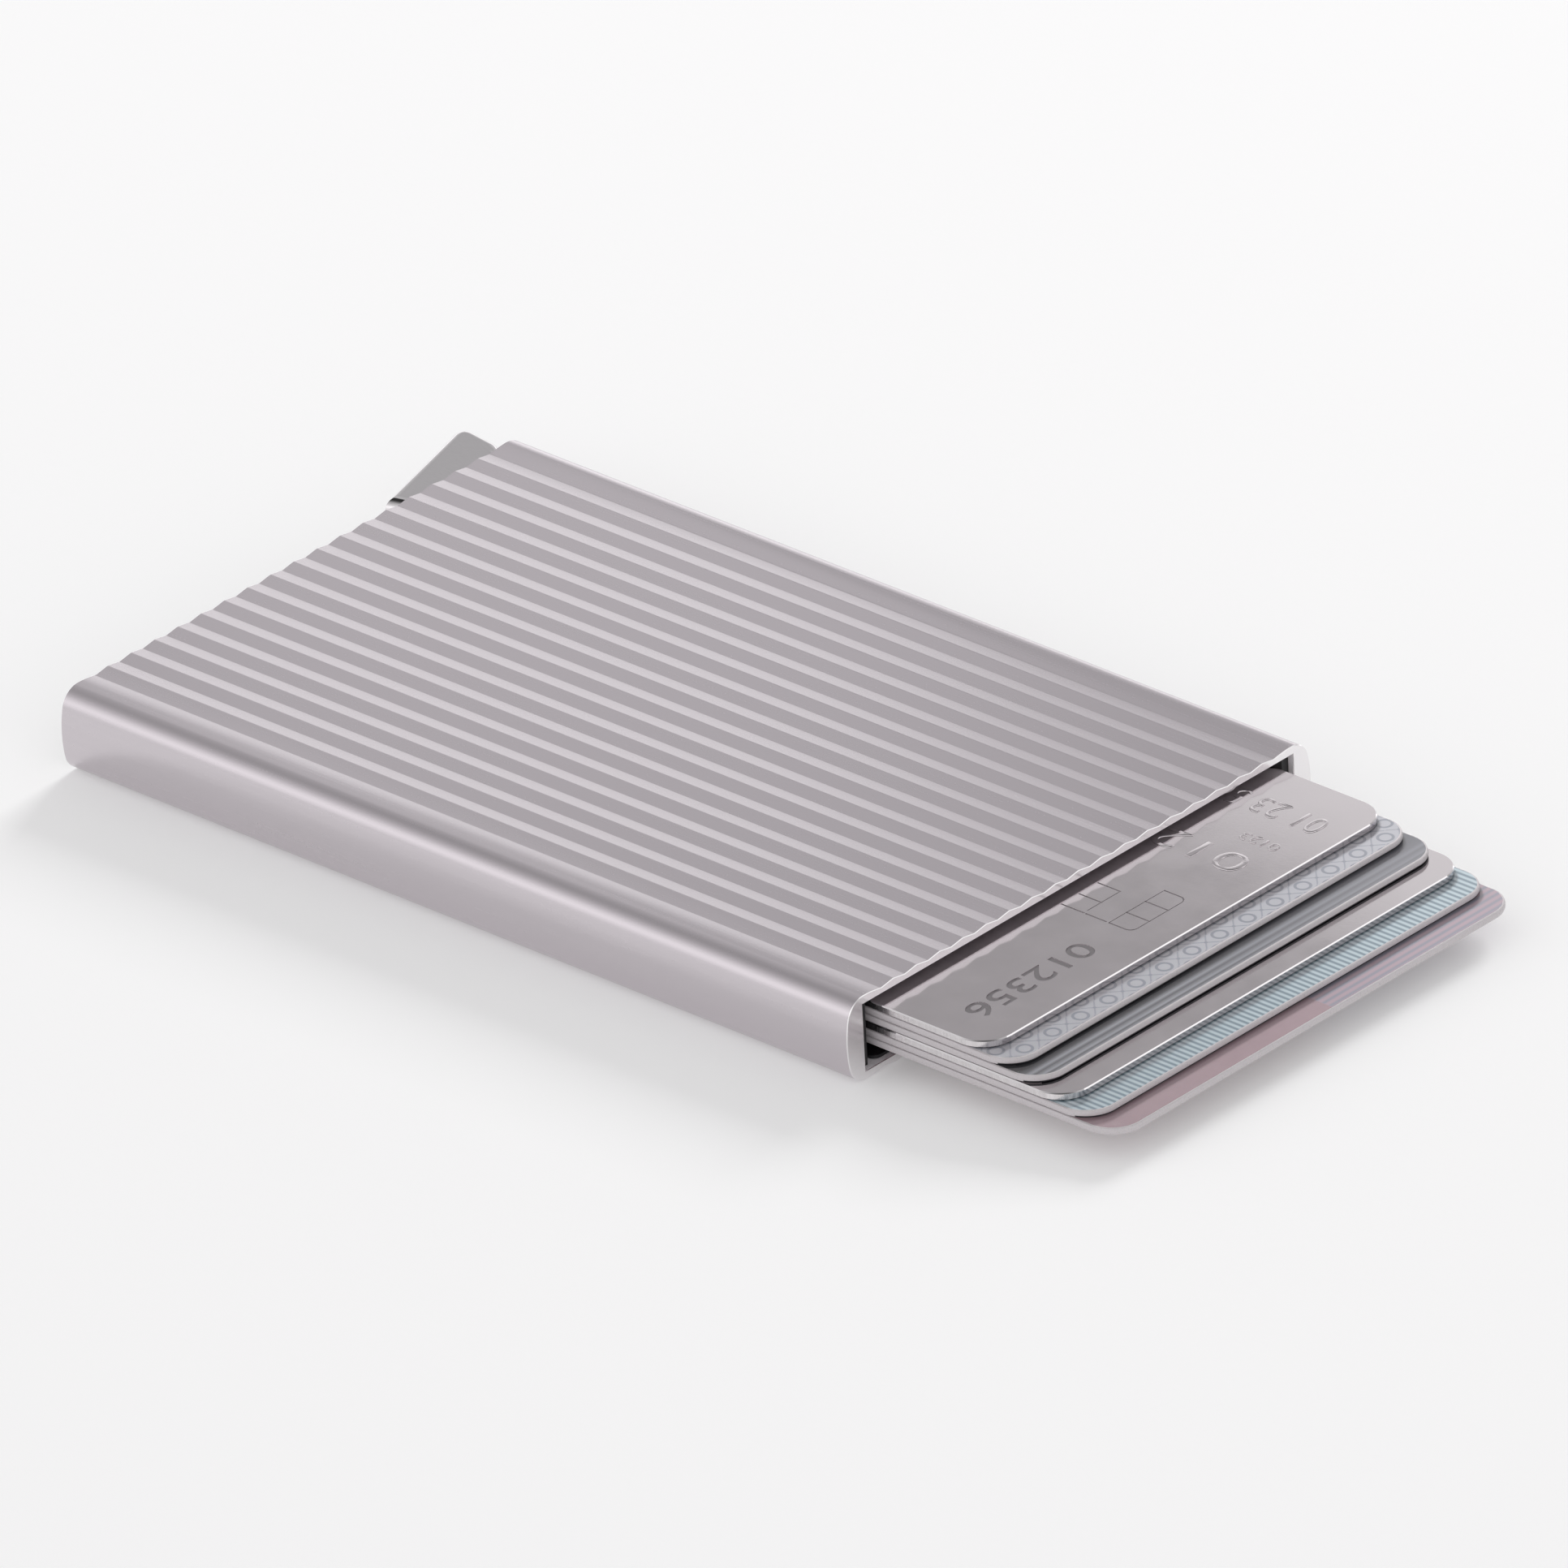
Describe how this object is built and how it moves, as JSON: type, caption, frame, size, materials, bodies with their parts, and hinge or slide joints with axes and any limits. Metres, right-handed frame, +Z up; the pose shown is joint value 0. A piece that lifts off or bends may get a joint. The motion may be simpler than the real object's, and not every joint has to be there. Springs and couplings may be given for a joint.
{
  "type": "pop up card holder",
  "caption": "Slim ridged metal card case, open at its mouth, with a thumb lever whose stepped arm pushes a stack of bank cards out as a fan.",
  "frame": {"origin": "on the middle ridge of the sleeve's underside, half way between its two ends", "axes": "+X along the sleeve towards the mouth that the cards leave by, +Y across it towards the lever's side, +Z up through the stack"},
  "size_m": [0.1299, 0.062, 0.0084],
  "materials": {
    "anodised_aluminium": "satin anodised, light grey",
    "polished_aluminium": "polished",
    "black_moulding": "matt black acetal",
    "steel": "bright",
    "spring_steel": "blued spring temper",
    "brass": "turned",
    "rubber": "matt",
    "felt": "pressed felt",
    "card_metal": "brushed, embossed",
    "card_grey_blue": "printed laminate",
    "card_slate": "printed laminate",
    "card_plain_metal": "satin",
    "card_light_blue": "printed laminate",
    "card_pink": "printed laminate"
  },
  "bodies": {
    "sleeve": {"tube": "anodised_aluminium", "end_plug": "black_moulding", "cover_plate": "spring_steel", "cover_screw": "steel", "pivot_pin": "steel", "return_spring": "spring_steel", "stop_buffer": "rubber", "side_rail_near": "black_moulding", "side_rail_far": "black_moulding", "floor_liner": "black_moulding", "brake_spring_near": "spring_steel", "brake_spring_far": "spring_steel", "brake_pad_near": "felt", "brake_pad_far": "felt", "brake_rivet_near": "steel", "brake_rivet_far": "steel"},
    "lever": {"thumb_tab": "polished_aluminium", "stepped_arm": "black_moulding", "arm_rivet_1": "steel", "arm_rivet_2": "steel", "pivot_bush": "brass"},
    "card_1": {"card_1": "card_metal"},
    "card_2": {"card_2": "card_grey_blue"},
    "card_3": {"card_3": "card_slate"},
    "card_4": {"card_4": "card_plain_metal"},
    "card_5": {"card_5": "card_light_blue"},
    "card_6": {"card_6": "card_pink"}
  },
  "joints": [
    {"name": "lever_turn", "type": "hinge", "parent": "sleeve", "child": "lever", "pos_m": [-0.0439, 0.0235, 0.0045], "axis": [0, 0, 1], "range_deg": [0, 40], "stiffness_Nm_per_rad": 0.012, "springref_deg": -28.65, "deforming": ["return_spring"]},
    {"name": "card_1_slide", "type": "slide", "parent": "sleeve", "child": "card_1", "axis": [1, 0, 0], "range_m": [-0.0152, 0.0734]},
    {"name": "card_2_slide", "type": "slide", "parent": "sleeve", "child": "card_2", "axis": [1, 0, 0], "range_m": [-0.01819, 0.07041]},
    {"name": "card_3_slide", "type": "slide", "parent": "sleeve", "child": "card_3", "axis": [1, 0, 0], "range_m": [-0.02118, 0.06742]},
    {"name": "card_4_slide", "type": "slide", "parent": "sleeve", "child": "card_4", "axis": [1, 0, 0], "range_m": [-0.02417, 0.06443]},
    {"name": "card_5_slide", "type": "slide", "parent": "sleeve", "child": "card_5", "axis": [1, 0, 0], "range_m": [-0.02716, 0.06144]},
    {"name": "card_6_slide", "type": "slide", "parent": "sleeve", "child": "card_6", "axis": [1, 0, 0], "range_m": [-0.03015, 0.05845]}
  ]
}
